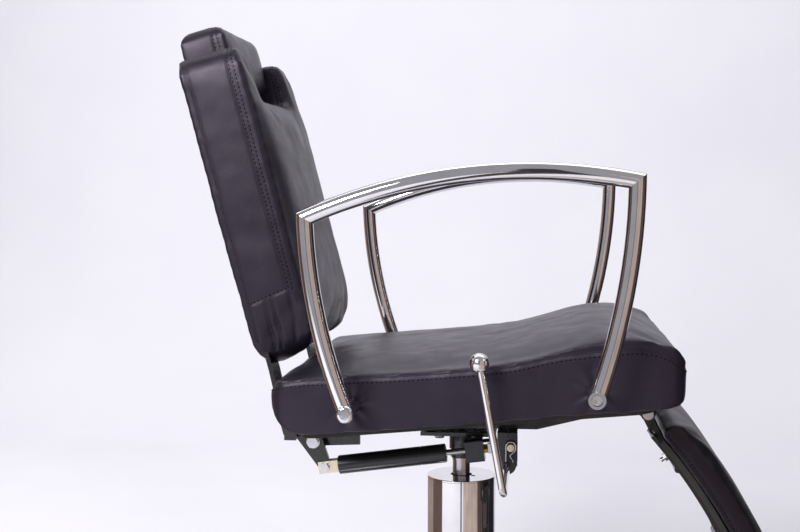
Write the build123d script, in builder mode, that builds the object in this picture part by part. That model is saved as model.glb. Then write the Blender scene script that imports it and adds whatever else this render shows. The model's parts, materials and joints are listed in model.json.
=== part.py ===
"""Reclining styling chair on a hydraulic pump: chrome loop arms, upholstered seat, back, headrest and leg rest.

Frame: origin at the middle of the base's underside, +X the way the sitter looks, +Y the sitter's left, +Z up.
Everything is in millimetres and stands in its rest pose: back upright, pump near its lowest, leg rest down.
"""
from build123d import *
from math import atan2, cos, hypot, radians, sin, tan
import os

os.makedirs("parts", exist_ok=True)

# ---------------------------------------------------------------- driving dimensions
# base and pump
BASE_R = 290.0
BASE_PLATE_T = 6.0
BASE_HUB_R = 58.0
BASE_HUB_Z = 44.0
COVER_R = 51.0
COVER_WALL = 1.5
COVER_TOP = 300.0
PUMP_R = 34.0
PISTON_R = 13.0
PISTON_FOOT = 60.0
HUB_R = 18.0
HUB_BOTTOM = 327.0
HUB_TOP = 378.0
PEDAL_PIVOT = (-40.5, 72.0)
PEDAL_REACH = 300.0

# seat: one straight underside line, tilted front up
SEAT_HALF_W = 250.0
SEAT_REAR = -243.0
SEAT_FRONT = 304.0
SEAT_TILT = 5.4
UNDER_X, UNDER_Z = -196.0, 400.0
BOARD_T = 14.0
BOARD_DROP = 5.0

# arms
ARM_Y = 300.0
ARM_R = 11.0
ARM_WALL = 1.6
ARM_REAR_TOP = (-179.5, 690.0)
ARM_REAR_MID = (-168.5, 586.0)
ARM_REAR_FOOT = (-127.3, 444.1)
ARM_FRONT_TOP = (231.5, 736.0)
ARM_FRONT_MID = (221.5, 614.0)
ARM_FRONT_FOOT = (185.1, 467.2)
ARM_CROWN = (60.0, 747.5)
BOSS_OUT = ARM_Y + ARM_R
SCREW_R = 4.0

# back: a frame of its own, leaning backwards from the foot of its rear face
BACK_LEAN = 15.1
BACK_X, BACK_Z = -284.0, 542.0
BACK_HALF_W = 172.0
BACK_LOW, BACK_HIGH = -67.0, 377.0
BACK_THICK = 88.0
NOTCH_HALF_W = 118.0
NOTCH_FLOOR = 298.0
HEAD_HALF_W = 105.0

# recliner
PIVOT = (-206.0, 365.0)
CRANK_PIN = (-189.0, 329.0)
ANCHOR = (75.7, 365.0)
LEVER_AXIS = (70.5, 340.0)
SPRING_Y = -98.5
EAR_Y = 81.5
EAR_T = 5.0
UPRIGHT_Y = 137.0
UPRIGHT_W = 44.0
UPRIGHT_T = 6.0
SPRING_R = 13.3
ROD_R = 4.5
LEVER_Y = -285.0
BALL = (39.5, 508.0)

# leg rest: concentric arcs about one far centre
CALF_X, CALF_Z = -266.0, -84.0
CALF_FRONT_R = 760.0
CALF_THICK = 36.0
CALF_HALF_W = 175.0
CALF_TOP, CALF_LOW = 42.0, 19.8
STRAP_LOW = 13.2
STRAP_T = 6.0
STRAP_W = 30.0
HINGE = (266.0, 412.0)

# ---------------------------------------------------------------- helper planes and functions
seat_under = Plane((UNDER_X, 0, UNDER_Z), x_dir=(cos(radians(SEAT_TILT)), 0, sin(radians(SEAT_TILT))),
                   z_dir=(-sin(radians(SEAT_TILT)), 0, cos(radians(SEAT_TILT))))
back_face = Plane((BACK_X, 0, BACK_Z), x_dir=(0, 1, 0),
                  z_dir=(cos(radians(BACK_LEAN)), 0, sin(radians(BACK_LEAN))))


def side_plane(y):
    """A plane seen from the sitter's right: its x is +X, its y is +Z, and it looks towards -Y."""
    return Plane((0, y, 0), x_dir=(1, 0, 0), z_dir=(0, -1, 0))


def cross(r, y_from, y_to, x, z, mode=Mode.ADD):
    """A round bar or hole across the chair, from y_from to y_to."""
    with BuildSketch(side_plane(max(y_from, y_to))) as disc:
        with Locations((x, z)):
            Circle(r)
    extrude(disc.sketch, amount=abs(y_to - y_from), mode=mode)


def under_z(x):
    """Height of the seat's underside at x."""
    return UNDER_Z + (x - UNDER_X) * tan(radians(SEAT_TILT))


def board_z(x):
    """Height of the seat board's underside at x."""
    return under_z(x) - BOARD_DROP / cos(radians(SEAT_TILT))


def back_point(n, v):
    """A point of the back's own frame: n forward of its rear face, v up along it."""
    lean = radians(BACK_LEAN)
    return (BACK_X + n * cos(lean) - v * sin(lean), BACK_Z + n * sin(lean) + v * cos(lean))


# ---------------------------------------------------------------- base
with BuildPart() as base_plate:
    Cylinder(BASE_R - 14, BASE_PLATE_T, align=(Align.CENTER, Align.CENTER, Align.MIN))
base_plate.part.label = "base_plate"
export_step(base_plate.part, "parts/base_plate.step")

with BuildPart() as base_cover:
    with BuildSketch(Plane.XZ):
        with BuildLine():
            dome = ThreePointArc((BASE_R, 4), (200, 27), (BASE_HUB_R + 8, BASE_HUB_Z))
            Line(dome @ 1, (BASE_HUB_R, BASE_HUB_Z))
            Line((BASE_HUB_R, BASE_HUB_Z), (BASE_HUB_R, BASE_HUB_Z - 2))
            inner = ThreePointArc((BASE_HUB_R + 7, BASE_HUB_Z - 2), (199, 25), (BASE_R - 4, 4.6))
            Line((BASE_HUB_R, BASE_HUB_Z - 2), inner @ 0)
            Line(inner @ 1, (BASE_R - 4, 0))
            Line((BASE_R - 4, 0), (BASE_R, 0))
            Line((BASE_R, 0), (BASE_R, 4))
        make_face()
    revolve(axis=Axis.Z)
base_cover.part.label = "base_cover"
export_step(base_cover.part, "parts/base_cover.step")

with BuildPart() as base_collar:
    with BuildSketch(Plane.XZ):
        with BuildLine():
            Polyline((COVER_R + 0.2, BASE_HUB_Z), (BASE_HUB_R + 6, BASE_HUB_Z), (BASE_HUB_R + 3, BASE_HUB_Z + 7),
                     (COVER_R + 3, BASE_HUB_Z + 12), (COVER_R + 0.2, BASE_HUB_Z + 12), close=True)
        make_face()
    revolve(axis=Axis.Z)
    with BuildSketch(Plane.XY.offset(BASE_HUB_Z)):
        with Locations((-COVER_R - 6, 0)):
            Rectangle(30, 26)
    extrude(amount=14, mode=Mode.SUBTRACT)
base_collar.part.label = "base_collar"
export_step(base_collar.part, "parts/base_collar.step")

# ---------------------------------------------------------------- hydraulic pump
PUMP_FOOT = BASE_PLATE_T
PUMP_TOP = COVER_TOP - 18
FLANGE_R = 47.0
FLANGE_T = 10.0
BOLT_RING = 40.6

with BuildPart() as pump_cylinder:
    with BuildSketch(Plane.XY.offset(PUMP_FOOT)):
        Circle(FLANGE_R)
        with PolarLocations(BOLT_RING, 4, 45):
            Circle(3.1, mode=Mode.SUBTRACT)
    extrude(amount=FLANGE_T)
    with BuildSketch(Plane.XY.offset(PUMP_FOOT)):
        Circle(PUMP_R)
    extrude(amount=PUMP_TOP - PUMP_FOOT)
    with BuildSketch(side_plane(11)):
        Polygon((-30, 54), (-47.5, 62), (-47.5, 82), (-30, 90), align=None)
    extrude(amount=22)
    with BuildSketch(side_plane(6.3)):
        Polygon((-34.5, 30), (-60, 30), (-60, 100), (-34.5, 100), align=None)
    extrude(amount=12.6, mode=Mode.SUBTRACT)
    cross(4.0, 12, -12, *PEDAL_PIVOT, mode=Mode.SUBTRACT)
    with BuildSketch(Plane.XY.offset(PISTON_FOOT - 25)):
        Circle(PISTON_R + 0.05)
    extrude(amount=PUMP_TOP, mode=Mode.SUBTRACT)
pump_cylinder.part.label = "pump_cylinder"
export_step(pump_cylinder.part, "parts/pump_cylinder.step")

with BuildPart() as pump_bolts:
    with BuildSketch(Plane.XY.offset(PUMP_FOOT + FLANGE_T)):
        with PolarLocations(BOLT_RING, 4, 45):
            RegularPolygon(5.2, 6)
    extrude(amount=5)
    with BuildSketch(Plane.XY.offset(PUMP_FOOT)):
        with PolarLocations(BOLT_RING, 4, 45):
            Circle(3.0)
    extrude(amount=FLANGE_T)
pump_bolts.part.label = "pump_bolts"
export_step(pump_bolts.part, "parts/pump_bolts.step")

with BuildPart() as pump_cover:
    with BuildSketch(Plane.XY.offset(BASE_PLATE_T)):
        Circle(COVER_R)
        Circle(COVER_R - COVER_WALL, mode=Mode.SUBTRACT)
    extrude(amount=COVER_TOP - 3.2 - BASE_PLATE_T)
    with BuildSketch(side_plane(8)):
        Polygon((-70, 50), (-30, 50), (-30, 98), (-70, 98), align=None)
    extrude(amount=16, mode=Mode.SUBTRACT)
pump_cover.part.label = "pump_cover"
export_step(pump_cover.part, "parts/pump_cover.step")

with BuildPart() as pump_top_disc:
    with BuildSketch(Plane.XY.offset(COVER_TOP - 2.6)):
        Circle(COVER_R)
    extrude(amount=2.6)
    fillet(pump_top_disc.edges().group_by(Axis.Z)[-1], 0.8)
    with BuildSketch(Plane.XY.offset(PUMP_TOP)):
        Circle(COVER_R - COVER_WALL - 0.3)
    extrude(amount=COVER_TOP - 2.6 - PUMP_TOP)
    with BuildSketch(Plane.XY.offset(PUMP_TOP)):
        Circle(PISTON_R + 3)
        with Locations((18, -9)):
            Circle(3.5)
    extrude(amount=30, mode=Mode.SUBTRACT)
pump_top_disc.part.label = "pump_top_disc"
export_step(pump_top_disc.part, "parts/pump_top_disc.step")

with BuildPart() as pedal_arm:
    with BuildSketch(side_plane(6)):
        with BuildLine():
            upper = Polyline((-36.5, 80), (-60, 84), (-120, 90), (-PEDAL_REACH, 98))
            lower = Polyline((-PEDAL_REACH, 90), (-122, 81), (-62, 66), (-36.5, 65))
            Line(upper @ 1, lower @ 0)
            Line(lower @ 1, upper @ 0)
        make_face()
    extrude(amount=12)
    cross(4.05, 8, -8, *PEDAL_PIVOT, mode=Mode.SUBTRACT)
pedal_arm.part.label = "pedal_arm"
export_step(pedal_arm.part, "parts/pedal_arm.step")

with BuildPart() as pedal_pin:
    cross(4.0, 12, -12, *PEDAL_PIVOT)
pedal_pin.part.label = "pedal_pin"
export_step(pedal_pin.part, "parts/pedal_pin.step")

with BuildPart() as pedal_pad:
    with BuildSketch(Plane.YZ.offset(-PEDAL_REACH - 34)):
        with Locations((0, 94)):
            RectangleRounded(70, 20, 6)
    extrude(amount=44)
    fillet(pedal_pad.edges().group_by(Axis.X)[0], 3)
    fillet(pedal_pad.edges().group_by(Axis.X)[-1], 3)
    add(pedal_arm.part, mode=Mode.SUBTRACT)
pedal_pad.part.label = "pedal_pad"
export_step(pedal_pad.part, "parts/pedal_pad.step")

# ---------------------------------------------------------------- lifting piston and hub
with BuildPart() as piston_rod:
    with BuildSketch(Plane.XY.offset(PISTON_FOOT)):
        Circle(PISTON_R)
    extrude(amount=HUB_BOTTOM - 4 - PISTON_FOOT)
    with BuildSketch(Plane.XY.offset(HUB_BOTTOM - 4)):
        Circle(PISTON_R - 3)
    extrude(amount=HUB_TOP - 6 - HUB_BOTTOM + 4, taper=1.5)
piston_rod.part.label = "piston_rod"
export_step(piston_rod.part, "parts/piston_rod.step")

with BuildPart() as piston_ring:
    with BuildSketch(Plane.XY.offset(HUB_BOTTOM - 4)):
        Circle(PISTON_R + 0.9)
        Circle(PISTON_R - 3, mode=Mode.SUBTRACT)
    extrude(amount=3)
piston_ring.part.label = "piston_ring"
export_step(piston_ring.part, "parts/piston_ring.step")

HUB_PLATE_T = 5.0
with BuildPart() as hub_socket:
    with BuildSketch(Plane.XY.offset(HUB_BOTTOM)):
        Circle(HUB_R - 2)
    extrude(amount=13)
    with BuildSketch(Plane.XY.offset(HUB_BOTTOM + 13)):
        Circle(HUB_R)
    extrude(amount=HUB_TOP - HUB_PLATE_T - HUB_BOTTOM - 13)
    with BuildSketch(Plane.XY.offset(HUB_BOTTOM)):
        Circle(PISTON_R - 2.9)
    extrude(amount=HUB_TOP - HUB_BOTTOM, mode=Mode.SUBTRACT)
hub_socket.part.label = "hub_socket"
export_step(hub_socket.part, "parts/hub_socket.step")

# ---------------------------------------------------------------- seat frame, board and cushion
RAIL_FRONT = 258.0
RAIL_LOW = 386.0
with BuildPart() as seat_frame:
    for y in (EAR_Y, -EAR_Y):
        with BuildSketch(side_plane(y + EAR_T / 2)):
            Polygon((-150, board_z(-150)), (RAIL_FRONT, board_z(RAIL_FRONT)),
                    (RAIL_FRONT, under_z(RAIL_FRONT) - 20), (112, RAIL_LOW), (-150, RAIL_LOW), align=None)
        extrude(amount=EAR_T)
        with BuildSketch(side_plane(y + EAR_T / 2)):
            with BuildLine():
                px, pz = PIVOT
                Polyline((px - 13, pz), (px - 13, board_z(px - 13)), (-141, board_z(-141)),
                         (-141, 358.5), (px + 15, pz - 9), (px, pz - 13))
                RadiusArc((px, pz - 13), (px - 13, pz), 13)
            make_face()
        extrude(amount=EAR_T)
        cross(5.0, y + EAR_T, y - EAR_T, *PIVOT, mode=Mode.SUBTRACT)
        with BuildSketch(side_plane(y + EAR_T / 2)):
            hx, hz = HINGE
            Polygon((hx - 42, board_z(hx - 42) - 2), (hx + 8, board_z(hx + 8) - 2), (hx + 12, hz - 2), (hx, hz - 12),
                    (hx - 12, hz - 2), align=None)
        extrude(amount=EAR_T)
        cross(4.0, y + EAR_T, y - EAR_T, *HINGE, mode=Mode.SUBTRACT)
    for x in (-120, 112, 236):
        with BuildSketch(side_plane(EAR_Y)):
            with Locations((x, board_z(x) - 12.2)):
                Rectangle(22, 22)
        extrude(amount=2 * EAR_Y)
    with BuildSketch(Plane.XY.offset(HUB_TOP - HUB_PLATE_T)):
        Rectangle(108, 2 * EAR_Y)
        Circle(HUB_R - 4, mode=Mode.SUBTRACT)
    extrude(amount=HUB_PLATE_T)
    for x in (-50, 50):
        with BuildSketch(side_plane(EAR_Y)):
            Polygon((x - 3, HUB_TOP), (x + 3, HUB_TOP), (x + 3, RAIL_LOW + 12), (x - 3, RAIL_LOW + 12), align=None)
        extrude(amount=2 * EAR_Y)
seat_frame.part.label = "seat_frame"
export_step(seat_frame.part, "parts/seat_frame.step")

HUB_BOLTS = [(x, y) for x in (-28, 26) for y in (-62, 62)]
with BuildPart() as hub_nuts:
    for x, y in HUB_BOLTS:
        with BuildSketch(Plane.XY.offset(HUB_TOP - HUB_PLATE_T - 6)):
            with Locations((x, y)):
                RegularPolygon(7, 6)
        extrude(amount=6)
hub_nuts.part.label = "hub_nuts"
export_step(hub_nuts.part, "parts/hub_nuts.step")

with BuildPart() as seat_board:
    with BuildSketch(seat_under.offset(-BOARD_DROP)):
        with Locations((228, 0)):
            RectangleRounded(470, 2 * SEAT_HALF_W - 36, 30)
    extrude(amount=BOARD_T)
seat_board.part.label = "seat_board"
export_step(seat_board.part, "parts/seat_board.step")

with BuildPart() as seat_cushion:
    with BuildSketch(side_plane(SEAT_HALF_W)):
        with BuildLine():
            low_front = (286, under_z(286))
            Line((UNDER_X, UNDER_Z), low_front)
            nose = RadiusArc(low_front, (SEAT_FRONT, 462), -18)
            Line(nose @ 1, (SEAT_FRONT, 500))
            RadiusArc((SEAT_FRONT, 500), (276, 531), -32)
            Spline((276, 531), (212, 537), (150, 524), (90, 507), (0, 495), (-110, 487), (-216, 478))
            heel = RadiusArc((-216, 478), (SEAT_REAR, 448), -28)
            RadiusArc(heel @ 1, (UNDER_X, UNDER_Z), -52)
        make_face()
    extrude(amount=2 * SEAT_HALF_W)
    with BuildSketch(Plane.XY.offset(300)):
        with Locations(((SEAT_REAR + SEAT_FRONT) / 2, 0)):
            RectangleRounded(SEAT_FRONT - SEAT_REAR, 2 * SEAT_HALF_W, 32)
    extrude(amount=300, mode=Mode.INTERSECT)
    with BuildSketch(seat_under.offset(-BOARD_DROP)):
        with Locations((228, 0)):
            RectangleRounded(470, 2 * SEAT_HALF_W - 36, 30)
    extrude(amount=BOARD_T, mode=Mode.SUBTRACT)
    for x, z in (ARM_REAR_FOOT, ARM_FRONT_FOOT):
        for y_from, y_to in ((SEAT_HALF_W + 1, SEAT_HALF_W - 40), (40 - SEAT_HALF_W, -1 - SEAT_HALF_W)):
            cross(SCREW_R + 0.1, y_from, y_to, x, z, mode=Mode.SUBTRACT)
seat_cushion.part.label = "seat_cushion"
export_step(seat_cushion.part, "parts/seat_cushion.step")

# ---------------------------------------------------------------- arms
ARM_CORNER_RUN = 22.0
ARM_PATH = (((ARM_REAR_FOOT, ARM_REAR_MID, ARM_REAR_TOP), False, True),
            ((ARM_REAR_TOP, ARM_CROWN, ARM_FRONT_TOP), True, True),
            ((ARM_FRONT_TOP, ARM_FRONT_MID, ARM_FRONT_FOOT), True, False))


def arm_run(y, points, straight_before, straight_after):
    """One bowed length of tube; where it meets a neighbour it runs on straight, ready for the mitre."""
    start, middle, end = (Vector(x, y, z) for x, z in points)
    with BuildPart() as run:
        with BuildLine() as path:
            arc = ThreePointArc(start, middle, end)
            if straight_before:
                Line(start - (arc % 0) * ARM_CORNER_RUN, start)
            if straight_after:
                Line(end, end + (arc % 1) * ARM_CORNER_RUN)
        with BuildSketch(Plane(origin=path.wire() @ 0, z_dir=path.wire() % 0)) as section:
            Circle(ARM_R)
            Circle(ARM_R - ARM_WALL, mode=Mode.SUBTRACT)
        sweep(section.sketch, path=path.wire())
    return run.part, arc % 0, arc % 1


def arm_tube(y):
    """One loop: three bowed lengths of tube, mitred where they meet, open at both feet."""
    runs = [arm_run(y, *run) for run in ARM_PATH]
    corners = [(ARM_REAR_TOP, runs[0][2] + runs[1][1]), (ARM_FRONT_TOP, runs[1][2] + runs[2][1])]
    mitres = [Plane(origin=(x, y, z), z_dir=way) for (x, z), way in corners]
    with BuildPart() as rear:
        add(runs[0][0])
        split(bisect_by=mitres[0], keep=Keep.BOTTOM)
        cross(ARM_R + 0.05, y + 30, y - 30, *ARM_REAR_FOOT, mode=Mode.SUBTRACT)
    with BuildPart() as top:
        add(runs[1][0])
        split(bisect_by=mitres[0], keep=Keep.TOP)
        split(bisect_by=mitres[1], keep=Keep.BOTTOM)
    with BuildPart() as front:
        add(runs[2][0])
        split(bisect_by=mitres[1], keep=Keep.TOP)
        cross(ARM_R + 0.05, y + 30, y - 30, *ARM_FRONT_FOOT, mode=Mode.SUBTRACT)
    return [rear.part.solid(), top.part.solid(), front.part.solid()]


for name, y in (("armrest_right", -ARM_Y), ("armrest_left", ARM_Y)):
    arm = Compound(label=name, children=arm_tube(y))
    export_step(arm, f"parts/{name}.step")

HEAD_SINK = 9.0
with BuildPart() as arm_bosses:
    for side in (-1, 1):
        inner_y = side * (SEAT_HALF_W + 0.3)
        outer_y = side * BOSS_OUT
        for x, z in (ARM_REAR_FOOT, ARM_FRONT_FOOT):
            cross(ARM_R, inner_y, outer_y, x, z)
            cross(SCREW_R + 0.1, inner_y, outer_y, x, z, mode=Mode.SUBTRACT)
            cross(7.2, outer_y - side * HEAD_SINK, outer_y, x, z, mode=Mode.SUBTRACT)
arm_bosses.part.label = "arm_bosses"
export_step(arm_bosses.part, "parts/arm_bosses.step")

with BuildPart() as arm_screws:
    for side in (-1, 1):
        seat_y = side * (SEAT_HALF_W - 38)
        head_y = side * (BOSS_OUT - HEAD_SINK)
        for x, z in (ARM_REAR_FOOT, ARM_FRONT_FOOT):
            cross(SCREW_R, seat_y, head_y, x, z)
            cross(6.5, head_y, head_y + side * 7, x, z)
            with BuildSketch(side_plane(max(head_y + side * 3, head_y + side * 7))):
                with Locations((x, z)):
                    RegularPolygon(3.6, 6)
            extrude(amount=4, mode=Mode.SUBTRACT)
arm_screws.part.label = "arm_screws"
export_step(arm_screws.part, "parts/arm_screws.step")

# the cap of the right front foot is absent, so its screw shows
with BuildPart() as arm_caps:
    for side, (x, z) in ((-1, ARM_REAR_FOOT), (1, ARM_REAR_FOOT), (1, ARM_FRONT_FOOT)):
        cross(ARM_R, side * BOSS_OUT, side * (BOSS_OUT + 5), x, z)
    fillet(arm_caps.faces().filter_by(GeomType.PLANE).filter_by(lambda face: abs(face.center().Y) > BOSS_OUT + 4)
           .edges(), 4.4)
arm_caps.part.label = "arm_caps"
export_step(arm_caps.part, "parts/arm_caps.step")

# ---------------------------------------------------------------- back
BACK_OUTLINE_R = 30.0
PANEL_T = 8.0
BACK_BOARD_T = 12.0
BACK_BOARD_HALF_W = 150.0
BACK_BOARD_LOW = -30.0
BACK_BOARD_HIGH = NOTCH_FLOOR - 16
POST_Y = 70.0
POST_R = 5.0
POST_N = 36.0
POST_LOW = 160.0
GUIDE_LOW = 196.0
GUIDE_R = 8.0
back_up = Plane(back_face.origin, x_dir=back_face.x_dir, z_dir=back_face.y_dir)
back_side = Plane(back_face.origin, x_dir=back_face.z_dir, z_dir=(0, -1, 0))

with BuildPart() as back_cushion:
    with BuildSketch(back_side.offset(-BACK_HALF_W)):
        with BuildLine():
            heel = ThreePointArc((PANEL_T + 0.3, BACK_LOW + 12), (18, BACK_LOW + 2), (32, BACK_LOW))
            sole = ThreePointArc(heel @ 1, (66, BACK_LOW + 10), (BACK_THICK, BACK_LOW + 52))
            face = Line(sole @ 1, (BACK_THICK, BACK_HIGH - 44))
            ThreePointArc(face @ 1, (BACK_THICK - 7, BACK_HIGH - 14), (66, BACK_HIGH))
            Line((66, BACK_HIGH), (PANEL_T + 0.3, BACK_HIGH - 9))
            Line((PANEL_T + 0.3, BACK_HIGH - 9), heel @ 0)
        make_face()
    extrude(amount=2 * BACK_HALF_W)
    with BuildSketch(back_face):
        with Locations((0, (BACK_LOW + BACK_HIGH) / 2)):
            RectangleRounded(2 * BACK_HALF_W, BACK_HIGH - BACK_LOW + 2, BACK_OUTLINE_R)
    extrude(amount=200, mode=Mode.INTERSECT)
    with BuildSketch(back_face):
        with Locations((0, NOTCH_FLOOR + 100)):
            RectangleRounded(2 * NOTCH_HALF_W, 200, 26)
    extrude(amount=120, mode=Mode.SUBTRACT)
    with BuildSketch(back_face.offset(PANEL_T)):
        with Locations((0, (BACK_BOARD_LOW + BACK_BOARD_HIGH) / 2)):
            Rectangle(2 * BACK_BOARD_HALF_W + 1, BACK_BOARD_HIGH - BACK_BOARD_LOW + 1)
    extrude(amount=BACK_BOARD_T + 6.6, mode=Mode.SUBTRACT)
    for y in (UPRIGHT_Y, -UPRIGHT_Y):
        with BuildSketch(back_face.offset(PANEL_T)):
            with Locations((y, 50)):
                Rectangle(UPRIGHT_W + 1, 264)
        extrude(amount=UPRIGHT_T + 1, mode=Mode.SUBTRACT)
    for y in (POST_Y, -POST_Y):
        with BuildSketch(back_up.offset(GUIDE_LOW)):
            with Locations((y, -POST_N)):
                Circle(GUIDE_R)
        extrude(amount=NOTCH_FLOOR - GUIDE_LOW, mode=Mode.SUBTRACT)
        with BuildSketch(back_up.offset(POST_LOW - 4)):
            with Locations((y, -POST_N)):
                Circle(POST_R + 1)
        extrude(amount=GUIDE_LOW - POST_LOW + 4, mode=Mode.SUBTRACT)
back_cushion.part.label = "back_cushion"
export_step(back_cushion.part, "parts/back_cushion.step")

with BuildPart() as back_board:
    with BuildSketch(back_face.offset(PANEL_T + UPRIGHT_T + 0.3)):
        with Locations((0, (BACK_BOARD_LOW + BACK_BOARD_HIGH) / 2)):
            Rectangle(2 * BACK_BOARD_HALF_W, BACK_BOARD_HIGH - BACK_BOARD_LOW)
    extrude(amount=BACK_BOARD_T)
back_board.part.label = "back_board"
export_step(back_board.part, "parts/back_board.step")

with BuildPart() as back_panel:
    with BuildSketch(back_face):
        with Locations((0, (BACK_LOW + BACK_HIGH) / 2 + 1)):
            RectangleRounded(2 * BACK_HALF_W - 8, BACK_HIGH - BACK_LOW - 22, BACK_OUTLINE_R)
        with Locations((0, NOTCH_FLOOR + 100)):
            RectangleRounded(2 * NOTCH_HALF_W, 200, 26, mode=Mode.SUBTRACT)
    extrude(amount=PANEL_T)
back_panel.part.label = "back_panel"
export_step(back_panel.part, "parts/back_panel.step")

# the uprights run down behind the seat, turn forward under it and end in a cross member at the pivots
UPRIGHT_N = PANEL_T + UPRIGHT_T / 2
CROSS_X, CROSS_Z = PIVOT[0] - 22.5, PIVOT[1] + 21
with BuildPart() as back_uprights:
    for y in (UPRIGHT_Y, -UPRIGHT_Y):
        with BuildSketch(side_plane(y + UPRIGHT_W / 2)):
            with BuildLine():
                FilletPolyline(back_point(UPRIGHT_N, 180), back_point(UPRIGHT_N, -73), (-246.5, 440),
                               (-241.5, 412), (CROSS_X - 6, CROSS_Z), radius=20)
            trace(line_width=UPRIGHT_T)
        extrude(amount=UPRIGHT_W)
    with BuildSketch(side_plane(UPRIGHT_Y + UPRIGHT_W / 2)):
        with Locations((CROSS_X, CROSS_Z)):
            Rectangle(16, 16)
    extrude(amount=2 * UPRIGHT_Y + UPRIGHT_W)
back_uprights.part.label = "back_uprights"
export_step(back_uprights.part, "parts/back_uprights.step")

CRANK_T = 6.0
with BuildPart() as crank_plates:
    for y in (-SPRING_Y, SPRING_Y):
        with BuildSketch(side_plane(y + CRANK_T / 2)):
            with BuildLine():
                px, pz = PIVOT
                ax, az = CRANK_PIN
                Polyline((CROSS_X - 8, CROSS_Z - 8), (ax - 9, az - 2), (ax - 3, az - 9), (ax + 6, az - 7),
                         (ax + 9, az + 1), (px + 13, pz + 4), (px + 4, pz + 13), (CROSS_X + 8, CROSS_Z - 8), close=True)
            make_face()
        extrude(amount=CRANK_T)
        cross(6.05, y + CRANK_T, y - CRANK_T, *PIVOT, mode=Mode.SUBTRACT)
    cross(4.05, SPRING_Y + CRANK_T, SPRING_Y - CRANK_T, *CRANK_PIN, mode=Mode.SUBTRACT)
crank_plates.part.label = "crank_plates"
export_step(crank_plates.part, "parts/crank_plates.step")

# each pivot bolt is fast in the frame's ear, and the crank plate turns on its shoulder
with BuildPart() as pivot_bolts:
    for side in (-1, 1):
        ear_in = side * (EAR_Y - EAR_T / 2)
        ear_out = side * (EAR_Y + EAR_T / 2)
        crank_out = side * (abs(SPRING_Y) + CRANK_T / 2 + 0.4)
        cross(5.0, ear_in, ear_out, *PIVOT)
        cross(6.0, ear_out, crank_out, *PIVOT)
        cross(9.5, crank_out, crank_out + side * 1.5, *PIVOT)
        cross(9.0, ear_in, ear_in - side * 7, *PIVOT)
        with BuildSketch(side_plane(max(crank_out + side * 1.5, crank_out + side * 8))):
            with Locations(PIVOT):
                RegularPolygon(8.6, 6)
        extrude(amount=6.5)
pivot_bolts.part.label = "pivot_bolts"
export_step(pivot_bolts.part, "parts/pivot_bolts.step")

# ---------------------------------------------------------------- headrest
HEAD_N, HEAD_T = -8.0, 69.0
HEAD_LOW, HEAD_HIGH = 326.0, 420.0
POST_HIGH = 372.0

with BuildPart() as headrest_pad:
    with BuildSketch(back_side.offset(-HEAD_HALF_W)):
        with Locations((HEAD_N + HEAD_T / 2, (HEAD_LOW + HEAD_HIGH) / 2)):
            RectangleRounded(HEAD_T, HEAD_HIGH - HEAD_LOW, 18)
    extrude(amount=2 * HEAD_HALF_W)
    with BuildSketch(back_face.offset(HEAD_N)):
        with Locations((0, (HEAD_LOW + HEAD_HIGH) / 2)):
            RectangleRounded(2 * HEAD_HALF_W, HEAD_HIGH - HEAD_LOW, 22)
    extrude(amount=HEAD_T, mode=Mode.INTERSECT)
    with BuildSketch(back_up.offset(HEAD_LOW)):
        with Locations((POST_Y, -POST_N), (-POST_Y, -POST_N)):
            Circle(POST_R)
    extrude(amount=POST_HIGH - HEAD_LOW, mode=Mode.SUBTRACT)
headrest_pad.part.label = "headrest_pad"
export_step(headrest_pad.part, "parts/headrest_pad.step")

with BuildPart() as headrest_posts:
    with BuildSketch(back_up.offset(POST_LOW)):
        with Locations((POST_Y, -POST_N), (-POST_Y, -POST_N)):
            Circle(POST_R)
    extrude(amount=POST_HIGH - POST_LOW)
headrest_posts.part.label = "headrest_posts"
export_step(headrest_posts.part, "parts/headrest_posts.step")

with BuildPart() as headrest_guides:
    with BuildSketch(back_up.offset(GUIDE_LOW)):
        with Locations((POST_Y, -POST_N), (-POST_Y, -POST_N)):
            Circle(GUIDE_R)
            Circle(POST_R + 0.06, mode=Mode.SUBTRACT)
    extrude(amount=NOTCH_FLOOR - GUIDE_LOW)
    with BuildSketch(back_up.offset(NOTCH_FLOOR)):
        with Locations((POST_Y, -POST_N), (-POST_Y, -POST_N)):
            Circle(GUIDE_R + 4)
            Circle(POST_R + 0.06, mode=Mode.SUBTRACT)
    extrude(amount=3)
headrest_guides.part.label = "headrest_guides"
export_step(headrest_guides.part, "parts/headrest_guides.step")

# ---------------------------------------------------------------- lockable gas spring between crank and front bracket
SPRING_LEN = hypot(ANCHOR[0] - CRANK_PIN[0], ANCHOR[1] - CRANK_PIN[1])
SPRING_ANGLE = atan2(ANCHOR[1] - CRANK_PIN[1], ANCHOR[0] - CRANK_PIN[0])
spring_end = Plane((CRANK_PIN[0], SPRING_Y, CRANK_PIN[1]), x_dir=(0, 1, 0),
                   z_dir=(cos(SPRING_ANGLE), 0, sin(SPRING_ANGLE)))
CYL_START, GLAND, CYL_END = 20.0, 169.0, 175.0
HEAD_START, HEAD_END = 203.0, 229.0
GROOVE = 138.0


def along(s_from, s_to, r, mode=Mode.ADD):
    """A round length of the gas spring, between two distances from the crank pin."""
    with BuildSketch(spring_end.offset(s_from)) as disc:
        Circle(r)
    extrude(disc.sketch, amount=s_to - s_from, mode=mode)


with BuildPart() as spring_clevis:
    with BuildSketch(spring_end.offset(-8.5)):
        Rectangle(18, 17)
    extrude(amount=CYL_START + 8.5)
    with BuildSketch(spring_end.offset(-8.5)):
        Rectangle(8, 17)
    extrude(amount=8.5 + 13, mode=Mode.SUBTRACT)
    cross(4.0, SPRING_Y + 10, SPRING_Y - 10, *CRANK_PIN, mode=Mode.SUBTRACT)
spring_clevis.part.label = "spring_clevis"
export_step(spring_clevis.part, "parts/spring_clevis.step")

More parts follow.
